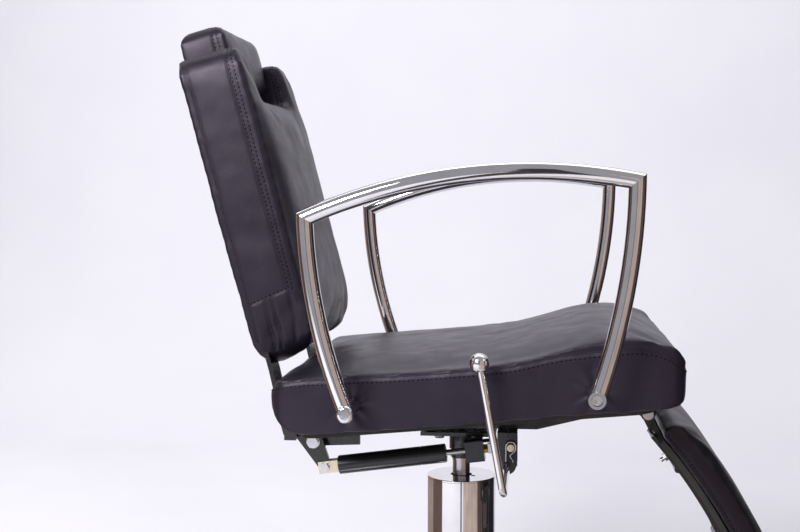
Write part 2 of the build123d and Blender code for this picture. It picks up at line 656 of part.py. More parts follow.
# the clevis holds the bolt, which turns in the crank plate
with BuildPart() as crank_bolt:
    cross(4.0, SPRING_Y + 9, SPRING_Y - 9, *CRANK_PIN)
    for side in (-1, 1):
        with BuildSketch(side_plane(max(SPRING_Y + side * 9, SPRING_Y + side * 14))) as hexagon:
            with Locations(CRANK_PIN):
                RegularPolygon(7.4, 6)
        extrude(hexagon.sketch, amount=5)
crank_bolt.part.label = "crank_bolt"
export_step(crank_bolt.part, "parts/crank_bolt.step")

with BuildPart() as spring_cylinder:
    along(CYL_START, CYL_END, SPRING_R)
    fillet(spring_cylinder.edges(), 1.6)
    along(CYL_START + 14, GLAND, SPRING_R - 1.7, mode=Mode.SUBTRACT)
    along(GLAND, CYL_END, ROD_R + 3.1, mode=Mode.SUBTRACT)
    with BuildSketch(spring_end.offset(GROOVE)):
        Circle(SPRING_R + 1)
        Circle(SPRING_R - 0.6, mode=Mode.SUBTRACT)
    extrude(amount=1.6, mode=Mode.SUBTRACT)
spring_cylinder.part.label = "spring_cylinder"
export_step(spring_cylinder.part, "parts/spring_cylinder.step")

with BuildPart() as spring_rod:
    along(98, HEAD_START + 8, ROD_R)
    along(88, 98, ROD_R + 3.8)
spring_rod.part.label = "spring_rod"
export_step(spring_rod.part, "parts/spring_rod.step")

BUTTON_Y, BUTTON_UP, BUTTON_R = 8.5, 9.5, 2.6
with BuildPart() as release_head:
    with BuildSketch(spring_end.offset(HEAD_START)):
        RectangleRounded(25, 32, 3)
    extrude(amount=HEAD_END - HEAD_START)
    along(HEAD_START, HEAD_START + 8, ROD_R, mode=Mode.SUBTRACT)
    with BuildSketch(spring_end.offset(HEAD_START + 6)):
        with Locations((BUTTON_Y, BUTTON_UP)):
            Circle(BUTTON_R + 0.05)
    extrude(amount=HEAD_END - HEAD_START, mode=Mode.SUBTRACT)
release_head.part.label = "release_head"
export_step(release_head.part, "parts/release_head.step")

with BuildPart() as release_button:
    with BuildSketch(spring_end.offset(HEAD_START + 14)):
        with Locations((BUTTON_Y, BUTTON_UP)):
            Circle(BUTTON_R)
    extrude(amount=HEAD_END - HEAD_START - 14 + 9)
release_button.part.label = "release_button"
export_step(release_button.part, "parts/release_button.step")

with BuildPart() as head_nut:
    with BuildSketch(spring_end.offset(HEAD_END)):
        RegularPolygon(6.5, 6)
    extrude(amount=6)
head_nut.part.label = "head_nut"
export_step(head_nut.part, "parts/head_nut.step")

with BuildPart() as spring_eye:
    with BuildSketch(side_plane(SPRING_Y + 4.5)):
        with Locations(ANCHOR):
            Circle(9)
    extrude(amount=9)
    with BuildSketch(spring_end.offset(HEAD_END + 6)):
        Rectangle(9, 14)
    extrude(amount=SPRING_LEN - HEAD_END - 6)
    cross(5.06, SPRING_Y + 9, SPRING_Y - 9, *ANCHOR, mode=Mode.SUBTRACT)
spring_eye.part.label = "spring_eye"
export_step(spring_eye.part, "parts/spring_eye.step")

# ---------------------------------------------------------------- front bracket, its pin and clip
CHEEK_T = 5.0
CHEEKS = (SPRING_Y - 10, SPRING_Y + 17.5)
BRACKET_X = (57.0, 85.0)
LOBE_R = 13.0
with BuildPart() as front_bracket:
    x_low, x_high = BRACKET_X
    lx, lz = LEVER_AXIS
    for y in CHEEKS:
        with BuildSketch(side_plane(y)):
            Polygon((x_low, RAIL_LOW - 0.1), (x_high, RAIL_LOW - 0.1), (x_high, lz), (lx + LOBE_R, lz - 2),
                    (lx - LOBE_R, lz), align=None)
            with Locations(LEVER_AXIS):
                Circle(LOBE_R)
        extrude(amount=CHEEK_T)
        cross(5.0, y + CHEEK_T, y - 2 * CHEEK_T, *ANCHOR, mode=Mode.SUBTRACT)
        cross(5.05, y + CHEEK_T, y - 2 * CHEEK_T, *LEVER_AXIS, mode=Mode.SUBTRACT)
    with BuildSketch(side_plane(CHEEKS[1])):
        Polygon((x_low, RAIL_LOW - 0.1), (x_high, RAIL_LOW - 0.1), (x_high, RAIL_LOW - 5), (x_low, RAIL_LOW - 5),
                align=None)
    extrude(amount=CHEEKS[1] - CHEEKS[0] + CHEEK_T)
front_bracket.part.label = "front_bracket"
export_step(front_bracket.part, "parts/front_bracket.step")

PIN_END = CHEEKS[0] - CHEEK_T - 4
with BuildPart() as anchor_pin:
    cross(5.0, CHEEKS[1], PIN_END, *ANCHOR)
    cross(7.5, CHEEKS[1] + 3, CHEEKS[1], *ANCHOR)
anchor_pin.part.label = "anchor_pin"
export_step(anchor_pin.part, "parts/anchor_pin.step")

CLIP_R = 0.9
with BuildPart() as hairpin_clip:
    bx, bz = ANCHOR
    with BuildLine() as path:
        shape = [(bx - 6.4, bz - 18.5), (bx - 6.4, bz + 5), (bx - 3, bz + 9), (bx + 4, bz + 9), (bx + 7, bz + 4),
                 (bx + 7, bz - 2), (bx - 1, bz - 10), (bx + 4, bz - 18.5)]
        FilletPolyline([(x, PIN_END - 1.2, z) for x, z in shape], radius=2.2)
    with BuildSketch(Plane(origin=path.wire() @ 0, z_dir=path.wire() % 0)) as section:
        Circle(CLIP_R)
    sweep(section.sketch, path=path.wire())
hairpin_clip.part.label = "hairpin_clip"
export_step(hairpin_clip.part, "parts/hairpin_clip.step")

# ---------------------------------------------------------------- recline lever
LEVER_R = 5.0
with BuildPart() as lever_rod:
    with BuildLine() as path:
        FilletPolyline((lx, CHEEKS[1] + 4, lz), (lx, LEVER_Y, lz), (BALL[0], LEVER_Y, BALL[1]), radius=13)
    with BuildSketch(Plane(origin=path.wire() @ 0, z_dir=path.wire() % 0)) as section:
        Circle(LEVER_R)
    sweep(section.sketch, path=path.wire())
lever_rod.part.label = "lever_rod"
export_step(lever_rod.part, "parts/lever_rod.step")

with BuildPart() as lever_ball:
    with Locations((BALL[0], LEVER_Y, BALL[1])):
        Sphere(12.5)
    add(lever_rod.part, mode=Mode.SUBTRACT)
lever_ball.part.label = "lever_ball"
export_step(lever_ball.part, "parts/lever_ball.step")

FINGER_Y = SPRING_Y + BUTTON_Y
with BuildPart() as release_finger:
    with BuildSketch(side_plane(FINGER_Y + 3.2)):
        Polygon((lx - 7.5, lz - 3), (lx + 6, lz + 6), (52.2, 377), (48.1, 377), (48.1, 362), align=None)
        with Locations(LEVER_AXIS):
            Circle(8.5)
            Circle(LEVER_R, mode=Mode.SUBTRACT)
    extrude(amount=4)
release_finger.part.label = "release_finger"
export_step(release_finger.part, "parts/release_finger.step")

# ---------------------------------------------------------------- leg rest, hinged under the seat's front edge
BOARD_THICK = 8.0
PAD_REAR_R = CALF_FRONT_R - CALF_THICK
STRAP_R = PAD_REAR_R - BOARD_THICK
TREAD_REACH = 108.0
TREAD_T = 8.0


def calf(r, angle):
    """A point of the leg rest's curve, at a radius and an angle above level, as (x, z)."""
    return (CALF_X + r * cos(radians(angle)), CALF_Z + r * sin(radians(angle)))


def calf_slab(r_in, r_out, low, high, half_w):
    """A curved slab across the chair between two radii and two angles."""
    middle = (low + high) / 2
    with BuildSketch(side_plane(half_w)) as slab:
        with BuildLine():
            outer = ThreePointArc(calf(r_out, high), calf(r_out, middle), calf(r_out, low))
            inner = ThreePointArc(calf(r_in, low), calf(r_in, middle), calf(r_in, high))
            Line(outer @ 1, inner @ 0)
            Line(inner @ 1, outer @ 0)
        make_face()
    return slab.sketch


CALF_BOLTS = [(y, angle) for y in (-EAR_Y - 20, EAR_Y + 20) for angle in (38.3, 23)]
BOLT_R = 3.0
BOLT_LEN = 10 + STRAP_T + BOARD_THICK - 0.1


def calf_bolt_plane(y, angle):
    """A plane at a leg rest bolt's free end, facing outwards along the bolt."""
    x, z = calf(STRAP_R - STRAP_T - 10, angle)
    return Plane((x, y, z), x_dir=(0, 1, 0), z_dir=(cos(radians(angle)), 0, sin(radians(angle))))


def calf_bolt_shanks(mode):
    """The four shanks that hold the board to the straps, or the holes that they need."""
    for y, angle in CALF_BOLTS:
        with BuildSketch(calf_bolt_plane(y, angle)) as shank:
            Circle(BOLT_R)
        extrude(shank.sketch, amount=BOLT_LEN, mode=mode)


with BuildPart() as legrest_frame:
    hx, hz = HINGE
    tread_x, tread_z = calf(STRAP_R - STRAP_T, STRAP_LOW)
    for side in (-1, 1):
        lug_y = side * (EAR_Y + EAR_T / 2 + 0.3)
        strap_mid = side * (EAR_Y + EAR_T / 2 + 0.3 + STRAP_W / 2)
        strap = Location((0, strap_mid, 0))
        extrude(strap * calf_slab(STRAP_R - STRAP_T, STRAP_R, STRAP_LOW, 41.2, STRAP_W / 2), amount=STRAP_W)
        with BuildSketch(side_plane(max(lug_y, lug_y + side * 5))):
            with Locations(HINGE):
                Circle(10)
            Polygon((hx - 9.8, hz), calf(STRAP_R - STRAP_T, 40.6), calf(STRAP_R - STRAP_T, 38),
                    calf(STRAP_R - 1, 38), calf(STRAP_R - 1, 41.2), (hx + 9.8, hz), align=None)
            with Locations(HINGE):
                Circle(5.06, mode=Mode.SUBTRACT)
        extrude(amount=5)
        with BuildSketch(side_plane(strap_mid + STRAP_W / 2)):
            Polygon((tread_x, tread_z - 4), (tread_x + TREAD_REACH - 8, tread_z - 4),
                    (tread_x + TREAD_REACH - 8, tread_z + 2), (tread_x + 5.4, tread_z + 2), align=None)
        extrude(amount=STRAP_W)
    for angle in (36, 24):
        cross(5.0, EAR_Y + 4, -EAR_Y - 4, *calf(STRAP_R - 5.5, angle))
    calf_bolt_shanks(Mode.SUBTRACT)
legrest_frame.part.label = "legrest_frame"
export_step(legrest_frame.part, "parts/legrest_frame.step")

with BuildPart() as legrest_hinge_bolts:
    for side in (-1, 1):
        ear_in = side * (EAR_Y - EAR_T / 2)
        ear_out = side * (EAR_Y + EAR_T / 2)
        lug_out = side * (EAR_Y + EAR_T / 2 + 5.7)
        cross(4.0, ear_in, ear_out, *HINGE)
        cross(5.0, ear_out, lug_out, *HINGE)
        cross(7.5, lug_out, lug_out + side * 4.5, *HINGE)
        cross(7.0, ear_in, ear_in - side * 5, *HINGE)
legrest_hinge_bolts.part.label = "legrest_hinge_bolts"
export_step(legrest_hinge_bolts.part, "parts/legrest_hinge_bolts.step")

CALF_INSET = 16.0
with BuildPart() as legrest_board:
    extrude(calf_slab(STRAP_R, PAD_REAR_R, CALF_LOW + 1, CALF_TOP - 1.2, CALF_HALF_W - CALF_INSET),
            amount=2 * (CALF_HALF_W - CALF_INSET))
    calf_bolt_shanks(Mode.SUBTRACT)
legrest_board.part.label = "legrest_board"
export_step(legrest_board.part, "parts/legrest_board.step")

with BuildPart() as legrest_bolts:
    calf_bolt_shanks(Mode.ADD)
    for y, angle in CALF_BOLTS:
        with BuildSketch(calf_bolt_plane(y, angle).offset(5.8)) as nut:
            RegularPolygon(6, 6)
        extrude(nut.sketch, amount=4)
legrest_bolts.part.label = "legrest_bolts"
export_step(legrest_bolts.part, "parts/legrest_bolts.step")

with BuildPart() as legrest_pad:
    extrude(calf_slab(PAD_REAR_R, CALF_FRONT_R, CALF_LOW, CALF_TOP, CALF_HALF_W), amount=2 * CALF_HALF_W)
    fillet(legrest_pad.edges().filter_by(Axis.Y), 12)
legrest_pad.part.label = "legrest_pad"
export_step(legrest_pad.part, "parts/legrest_pad.step")

with BuildPart() as footrest_tread:
    with BuildSketch(Plane.XY.offset(tread_z + 2.1)):
        with Locations((tread_x + 10 + TREAD_REACH / 2, 0)):
            RectangleRounded(TREAD_REACH, 300, 14)
    extrude(amount=TREAD_T)
footrest_tread.part.label = "footrest_tread"
export_step(footrest_tread.part, "parts/footrest_tread.step")

with BuildPart() as footrest_strips:
    with BuildSketch(Plane.XY.offset(tread_z + 2.1 + TREAD_T)):
        with Locations((tread_x + 10 + TREAD_REACH / 2, 0)):
            with GridLocations(19, 1, 5, 1):
                SlotOverall(264, 8, rotation=90)
    extrude(amount=2.5)
footrest_strips.part.label = "footrest_strips"
export_step(footrest_strips.part, "parts/footrest_strips.step")
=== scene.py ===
import json
import math

import bmesh
import bpy
import numpy as np
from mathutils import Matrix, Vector, noise
from mathutils.bvhtree import BVHTree
from mathutils.kdtree import KDTree


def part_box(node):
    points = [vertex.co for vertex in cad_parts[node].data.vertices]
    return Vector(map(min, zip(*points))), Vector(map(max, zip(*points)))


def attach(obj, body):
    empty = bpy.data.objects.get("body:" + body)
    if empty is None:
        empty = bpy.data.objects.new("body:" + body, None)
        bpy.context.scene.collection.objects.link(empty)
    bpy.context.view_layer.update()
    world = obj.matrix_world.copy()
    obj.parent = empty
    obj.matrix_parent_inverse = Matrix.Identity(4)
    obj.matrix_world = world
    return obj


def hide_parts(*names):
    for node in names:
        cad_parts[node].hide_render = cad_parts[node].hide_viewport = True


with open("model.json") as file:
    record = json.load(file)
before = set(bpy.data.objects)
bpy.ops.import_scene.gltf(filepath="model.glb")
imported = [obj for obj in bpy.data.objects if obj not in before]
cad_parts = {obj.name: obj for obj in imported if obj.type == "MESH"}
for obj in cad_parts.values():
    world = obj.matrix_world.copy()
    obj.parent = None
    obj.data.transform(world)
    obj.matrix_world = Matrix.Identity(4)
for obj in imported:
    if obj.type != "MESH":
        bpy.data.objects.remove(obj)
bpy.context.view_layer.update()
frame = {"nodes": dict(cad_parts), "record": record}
NODES = frame["nodes"]


# ---------------------------------------------------------------- materials
COAT_ROUGH = 0.08
COLOUR_RANGE = (0.35, 0.65)    # the part of a noise over which the colour changes
ROUGH_RANGE = (0.3, 0.7)       # and the roughness


class Shader:
    """One procedural material under construction, in object coordinates (metres)."""

    def __init__(self, name, colour, rough, metal=0.0, specular=0.5, coat=0.0):
        self.mat = bpy.data.materials.new(name)
        self.mat.use_nodes = True
        self.tree = self.mat.node_tree
        self.bsdf = self.tree.nodes["Principled BSDF"]
        self.set("Base Color", (*colour, 1))
        self.set("Roughness", rough)
        self.set("Metallic", metal)
        self.set("Specular IOR Level", specular)
        if coat:
            self.set("Coat Weight", coat)
            self.set("Coat Roughness", COAT_ROUGH)
        self.where = self.add("ShaderNodeTexCoord").outputs["Object"]
        self.normal = None

    def add(self, kind):
        return self.tree.nodes.new(kind)

    def set(self, socket, value):
        self.bsdf.inputs[socket].default_value = value

    def join(self, a, b):
        self.tree.links.new(a, b)

    def stretch(self, scale):
        node = self.add("ShaderNodeMapping")
        node.inputs["Scale"].default_value = scale
        self.join(self.where, node.inputs["Vector"])
        return node.outputs["Vector"]

    def noise(self, scale, detail=3.0, rough=0.55, where=None):
        node = self.add("ShaderNodeTexNoise")
        node.inputs["Scale"].default_value = scale
        node.inputs["Detail"].default_value = detail
        node.inputs["Roughness"].default_value = rough
        self.join(where or self.where, node.inputs["Vector"])
        return node.outputs["Fac"]

    def cells(self, scale):
        node = self.add("ShaderNodeTexVoronoi")
        node.feature = "DISTANCE_TO_EDGE"
        node.inputs["Scale"].default_value = scale
        self.join(self.where, node.inputs["Vector"])
        return node.outputs["Distance"]

    def vary_colour(self, fac, low, high):
        node = self.add("ShaderNodeValToRGB")
        for element, at, colour in zip(node.color_ramp.elements, COLOUR_RANGE, (low, high)):
            element.position = at
            element.color = (*colour, 1)
        self.join(fac, node.inputs["Fac"])
        self.join(node.outputs["Color"], self.bsdf.inputs["Base Color"])

    def vary_rough(self, fac, low, high):
        node = self.add("ShaderNodeMapRange")
        node.inputs["From Min"].default_value = ROUGH_RANGE[0]
        node.inputs["From Max"].default_value = ROUGH_RANGE[1]
        node.inputs["To Min"].default_value = low
        node.inputs["To Max"].default_value = high
        self.join(fac, node.inputs["Value"])
        self.join(node.outputs["Result"], self.bsdf.inputs["Roughness"])

    def bump(self, height, strength, distance):
        node = self.add("ShaderNodeBump")
        node.inputs["Strength"].default_value = strength
        node.inputs["Distance"].default_value = distance
        self.join(height, node.inputs["Height"])
        if self.normal is not None:
            self.join(self.normal, node.inputs["Normal"])
        self.normal = node.outputs["Normal"]
        self.join(self.normal, self.bsdf.inputs["Normal"])


def make_leather(name, base, rough):
    s = Shader(name, base, rough, specular=0.38)
    s.set("Specular Tint", (0.93, 0.82, 1.0, 1))
    s.vary_colour(s.noise(9, 4), [c * 0.82 for c in base], [c * 1.2 for c in base])
    s.vary_rough(s.noise(24, 5, 0.65), rough - 0.05, rough + 0.07)
    s.bump(s.noise(16, 2), 0.12, 0.004)
    s.bump(s.cells(620), 0.32, 0.0005)
    s.bump(s.noise(1500, 2), 0.22, 0.0004)
    return s.mat


def make_metal(name, colour, rough, spread, grain, bump=0.05, metal=1.0, specular=0.5, coat=0.0):
    s = Shader(name, colour, rough, metal=metal, specular=specular, coat=coat)
    s.vary_colour(s.noise(35, 3), [c * 0.93 for c in colour], colour)
    s.vary_rough(s.noise(60, 5, 0.7), rough, rough + spread)
    s.bump(s.noise(grain, 2), bump, 0.0006)
    return s.mat


def make_brushed(name, colour, rough, stretch):
    s = Shader(name, colour, rough, metal=1.0)
    lines = s.noise(1.0, 4, 0.6, s.stretch(stretch))
    s.vary_colour(lines, [c * 0.86 for c in colour], colour)
    s.vary_rough(lines, rough - 0.04, rough + 0.10)
    s.bump(lines, 0.10, 0.0004)
    return s.mat


def make_plywood():
    s = Shader("plywood", (0.030, 0.027, 0.025), 0.65)
    rings = s.noise(1.0, 5, 0.6, s.stretch((26, 4, 26)))
    s.vary_colour(rings, (0.016, 0.015, 0.014), (0.032, 0.029, 0.027))
    s.bump(rings, 0.3, 0.001)
    return s.mat


BLACK_LEATHER = (0.0140, 0.0108, 0.0190)
leather = make_leather("leather", BLACK_LEATHER, 0.38)
# painted shade: the legrest's cover is the same black leather made darker and a little rougher, standing for
# the shade that falls on the legrest
leg_leather_painted_shade = make_leather("leg_leather_painted_shade", (0.0050, 0.0040, 0.0065), 0.40)
thread = make_metal("thread", (0.006, 0.005, 0.007), 0.75, 0.15, 2200, 0.3, metal=0.0, specular=0.1)
finishes = {
    "leather": leather,
    "chrome": make_metal("chrome", (0.80, 0.79, 0.80), 0.035, 0.03, 300, 0.01),
    "black_steel": make_metal("black_steel", (0.010, 0.010, 0.012), 0.22, 0.10, 450, 0.10,
                              metal=0.0, coat=0.35),
    "cast_iron": make_metal("cast_iron", (0.045, 0.045, 0.050), 0.45, 0.20, 260, 0.5, metal=0.0),
    "bright_steel": make_brushed("bright_steel", (0.50, 0.48, 0.49), 0.16, (30, 30, 900)),
    "zinc": make_metal("zinc", (0.72, 0.72, 0.75), 0.20, 0.16, 700, 0.10),
    "yellow_zinc": make_metal("yellow_zinc", (0.80, 0.74, 0.56), 0.24, 0.14, 700, 0.10),
    "brass": make_metal("brass", (0.70, 0.46, 0.15), 0.22, 0.14, 700, 0.10),
    "spring_paint": make_metal("spring_paint", (0.008, 0.008, 0.009), 0.26, 0.12, 600, 0.08,
                               metal=0.0, coat=0.3),
    "black_plastic": make_metal("black_plastic", (0.016, 0.016, 0.018), 0.42, 0.14, 900, 0.25, metal=0.0),
    "rubber": make_metal("rubber", (0.018, 0.018, 0.018), 0.62, 0.15, 1100, 0.35, metal=0.0),
    "plywood": make_plywood(),
    "aluminium": make_brushed("aluminium", (0.70, 0.70, 0.72), 0.26, (8, 900, 8)),
}
for part in frame["record"]["subparts"]:
    for slot in NODES[part["node"]].material_slots:
        slot.material = finishes[part["material_slot"]]


# ---------------------------------------------------------------- soft goods
LEAN = math.radians(15.1)
BACK_ORIGIN = np.array((-0.284, 0.0, 0.542))
BACK_N = np.array((math.cos(LEAN), 0.0, math.sin(LEAN)))
BACK_V = np.array((-math.sin(LEAN), 0.0, math.cos(LEAN)))
BACK_HALF, BACK_LOW, BACK_HIGH, BACK_THICK = 0.172, -0.067, 0.377, 0.088
NOTCH_HALF, NOTCH_FLOOR = 0.112, 0.302
SEAT_HALF, SEAT_REAR, SEAT_FRONT = 0.250, -0.243, 0.304
LEG_AXIS = np.array((-0.266, 0.0, -0.084))
LEG_SEAM_R = 0.733             # the leg pad is curved about LEG_AXIS
SIM_FRAMES = 20
SIM_PRESSURE = 4.0
STITCH_PITCH = 0.0060
THREAD_R = 0.0010
FOLD_R = 0.0011


def from_back(n, y, v):
    """Points given by their height above the back's rear face, across it and up along it."""
    n, y, v = (np.asarray(a, float) for a in (n, y, v))
    return BACK_ORIGIN + n[..., None] * BACK_N + y[..., None] * np.array((0, 1.0, 0)) + v[..., None] * BACK_V


def to_back(p):
    d = p - BACK_ORIGIN
    return d @ BACK_N, d[:, 1], d @ BACK_V


def points(obj):
    co = np.empty(len(obj.data.vertices) * 3)
    obj.data.vertices.foreach_get("co", co)
    return co.reshape(-1, 3)


def normals(obj):
    no = np.empty(len(obj.data.vertices) * 3)
    obj.data.vertices.foreach_get("normal", no)
    return no.reshape(-1, 3)


def place(obj, co):
    obj.data.vertices.foreach_set("co", np.ascontiguousarray(co).ravel())
    obj.data.update()


def bake(obj):
    """The object's modifiers become its mesh."""
    bpy.context.view_layer.update()
    seen = obj.evaluated_get(bpy.context.evaluated_depsgraph_get())
    mesh = bpy.data.meshes.new_from_object(seen)
    obj.modifiers.clear()
    obj.data = mesh


def smoothstep(x, low, high):
    t = np.clip((x - low) / (high - low), 0, 1)
    return t * t * (3 - 2 * t)


def relax(obj, values, rounds, share=0.5):
    """Values of the vertices, evened out with their neighbours'."""
    edges = np.empty(len(obj.data.edges) * 2, int)
    obj.data.edges.foreach_get("vertices", edges)
    a, b = edges.reshape(-1, 2).T
    count = np.bincount(np.concatenate((a, b)), minlength=len(values))[:, None]
    for _ in range(rounds):
        total = np.zeros_like(values)
        np.add.at(total, a, values[b])
        np.add.at(total, b, values[a])
        values = values * (1 - share) + share * total / count
    return values


def new_piece(name, mesh):
    obj = bpy.data.objects.new(name, mesh)
    bpy.context.scene.collection.objects.link(obj)
    return obj


def from_node(name, node):
    return new_piece(name, NODES[node].data.copy())


def voxels(obj, size):
    mod = obj.modifiers.new("voxels", "REMESH")
    mod.mode = "VOXEL"
    mod.voxel_size = size
    bake(obj)


def slim(obj, depth, rounds):
    """Rounds the edges a little and draws the surface in, to leave room for the swelling."""
    co = relax(obj, points(obj), rounds)
    place(obj, co)
    place(obj, co - normals(obj) * depth)


def swell(obj, held, cap):
    """Cloth under air pressure. held is 0 to 1 for each vertex, and no vertex moves further than cap."""
    rest = points(obj)
    group = obj.vertex_groups.new(name="held")
    weights = held(rest)
    for i in np.nonzero(weights > 0.02)[0]:
        group.add([int(i)], float(weights[i]), "REPLACE")
    mod = obj.modifiers.new("cloth", "CLOTH")
    cloth = mod.settings
    cloth.quality = 4
    cloth.vertex_group_mass = "held"
    cloth.use_pressure = True
    cloth.uniform_pressure_force = SIM_PRESSURE
    cloth.effector_weights.gravity = 0
    mod.point_cache.frame_start = 1
    mod.point_cache.frame_end = SIM_FRAMES
    for step in range(1, SIM_FRAMES + 1):
        bpy.context.scene.frame_set(step)
    bake(obj)
    bpy.context.scene.frame_set(1)
    obj.vertex_groups.clear()
    moved = points(obj) - rest
    length = np.linalg.norm(moved, axis=1, keepdims=True)
    moved *= cap * np.tanh(length / cap) / np.maximum(length, 1e-9)
    place(obj, rest + relax(obj, moved, 6))


def refine(obj):
    mod = obj.modifiers.new("finer", "SUBSURF")
    mod.levels = 1
    mod.render_levels = 1
    bake(obj)
    obj.data.shade_smooth()


def surface(obj):
    return BVHTree.FromPolygons([v.co for v in obj.data.vertices], [p.vertices for p in obj.data.polygons])


def along(path, step):
    """Evenly spaced points along a run of points."""
    path = np.asarray(path, float)
    gaps = np.linalg.norm(np.diff(path, axis=0), axis=1)
    at = np.concatenate(([0], np.cumsum(gaps)))
    count = max(2, int(round(at[-1] / step)) + 1)
    where = np.linspace(0, at[-1], count)
    return np.stack([np.interp(where, at, path[:, k]) for k in range(3)], axis=1)


def snap(tree, path, rounds=8):
    """The points of a path moved onto a surface and evened out along it, with the surface's normals there."""
    hits = [tree.find_nearest(Vector(p)) for p in path]
    at, out = np.array([h[0] for h in hits]), np.array([h[1] for h in hits])
    for _ in range(rounds):
        for values in (at, out):
            values[1:-1] = (values[:-2] + 2 * values[1:-1] + values[2:]) / 4
    hits = [tree.find_nearest(Vector(p)) for p in at]
    at = (at + np.array([h[0] for h in hits])) / 2
    return at, out / np.linalg.norm(out, axis=1, keepdims=True)


def groove(obj, paths, depth, width):
    """Pulls the surface in along seams."""
    tree = surface(obj)
    lines = [snap(tree, along(path, 0.003))[0] for path in paths]
    spots = np.concatenate(lines)
    near = KDTree(len(spots))
    for i, spot in enumerate(spots):
        near.insert(spot, i)
    near.balance()
    co = points(obj)
    gap = np.array([near.find(p)[2] for p in co])
    place(obj, co - normals(obj) * (depth * np.exp(-(gap / width) ** 2))[:, None])


def tube(bm, centres, outs, radius, flat, sides):
    """One closed length of thread or fold, with tapered ends, flattened along the surface's normal."""
    rings = []
    last = len(centres) - 1
    for i, (centre, out) in enumerate(zip(centres, outs)):
        ahead = Vector(centres[min(i + 1, last)]) - Vector(centres[max(i - 1, 0)])
        ahead.normalize()
        out = Vector(out)
        side = ahead.cross(out).normalized()
        r = radius * (0.55 if i in (0, last) else 1.0)
        ring = [bm.verts.new(Vector(centre) + side * r * math.cos(a) + out * r * flat * math.sin(a))
                for a in (2 * math.pi * k / sides for k in range(sides))]
        rings.append(ring)
    for a, b in zip(rings, rings[1:]):
        for k in range(sides):
            bm.faces.new((a[k], a[(k + 1) % sides], b[(k + 1) % sides], b[k]))
    bm.faces.new(rings[0][::-1])
    bm.faces.new(rings[-1])


def trim(name, obj, stitched, folded, body):
    """The thread and the fine folded edges along a piece's seams."""
    tree = surface(obj)
    for kind, paths, mat in (("thread", stitched, thread), ("fold", folded, leather)):
        if not paths:
            continue
        bm = bmesh.new()
        for path in paths:
            if kind == "fold":
                at, out = snap(tree, along(path, 0.004))
                tube(bm, at - out * 0.0004, out, FOLD_R, 0.9, 6)
                continue
            at, out = snap(tree, along(path, STITCH_PITCH / 4), 24)
            for i in range(0, len(at) - 3, 4):
                sink = np.array((-0.0003, 0.0001, -0.0003))[:, None]
                tube(bm, at[i:i + 3] + out[i:i + 3] * sink, out[i:i + 3], THREAD_R, 0.8, 5)
        mesh = bpy.data.meshes.new(f"{name}_{kind}")
        bm.normal_update()
        bm.to_mesh(mesh)
        bm.free()
        mesh.shade_smooth()
        mesh.materials.append(mat)
        piece = new_piece(f"{name}_{kind}", mesh)
        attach(piece, body)


def finish_soft(obj, body, fill, *nodes, cover=leather):
    obj.data.materials.clear()
    obj.data.materials.append(cover)
    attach(obj, body)
    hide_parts(*nodes)


def rounded(corners, radii, steps=6):
    """A closed outline with its corners rounded off."""
    out = []
    count = len(corners)
    for i, (corner, radius) in enumerate(zip(corners, radii)):
        c = np.array(corner, float)
        before = np.array(corners[i - 1], float) - c
        after = np.array(corners[(i + 1) % count], float) - c
        before /= np.linalg.norm(before)
        after /= np.linalg.norm(after)
        for t in np.linspace(0, 1, steps + 1):
            out.append(c + before * radius * (1 - t) ** 2 + after * radius * t ** 2)
    return out


def wobble(p, size, seed):
    """Slow smooth noise from -1 to 1 at each point."""
    return np.array([noise.noise(Vector(q) / size + Vector((seed, 0, 0))) for q in p]) * 2


# the back: two ears beside the headrest's notch, crowned front, soft rounded sole
NOTCH_ROLL = 0.012
SIDE_SEAMS = (    # the hem across each side, then the three gathers below it, as (n, v) runs
    ((0.009, 0.024), (0.040, 0.029), (0.0685, 0.033)),
    ((0.032, 0.026), (0.031, -0.01), (0.026, -0.055)),
    ((0.041, 0.027), (0.041, -0.01), (0.036, -0.056)),
    ((0.0685, 0.033), (0.066, -0.005), (0.058, -0.045)),
)
BACK_SEAM_N = (0.0685, 0.0745)
BACK_OUTLINE = rounded(
    [(-BACK_HALF, BACK_LOW), (-BACK_HALF, BACK_HIGH), (-NOTCH_HALF, BACK_HIGH), (-NOTCH_HALF, NOTCH_FLOOR),
     (NOTCH_HALF, NOTCH_FLOOR), (NOTCH_HALF, BACK_HIGH), (BACK_HALF, BACK_HIGH), (BACK_HALF, BACK_LOW)],
    [0.060, 0.040, 0.016, 0.030, 0.030, 0.016, 0.040, 0.060])


def fall(t):
    """How far a quarter circle has fallen away, from 1 at t = 0 to nothing at t = 1."""
    return 1 - np.sqrt(1 - (1 - np.clip(t, 0, 1)) ** 2)


def back_depths(y, v):
    """Where the rear and front faces lie; the front rolls over softly into the notch."""
    sole = np.clip((v - BACK_LOW) / 0.060, 0, 1)
    below_top = BACK_HIGH - v
    front = 0.052 + (BACK_THICK - 0.052) * (1 - fall(sole)) - 0.014 * fall(below_top / 0.040)
    rear = -0.0045 + 0.020 * fall(sole * 1.6) + 0.010 * fall(below_top / 0.012)
    to_notch = np.hypot(np.maximum(np.abs(y) - NOTCH_HALF, 0), np.maximum(NOTCH_FLOOR - v, 0))
    front = front - 0.9 * NOTCH_ROLL * fall(to_notch / NOTCH_ROLL)
    return rear, front


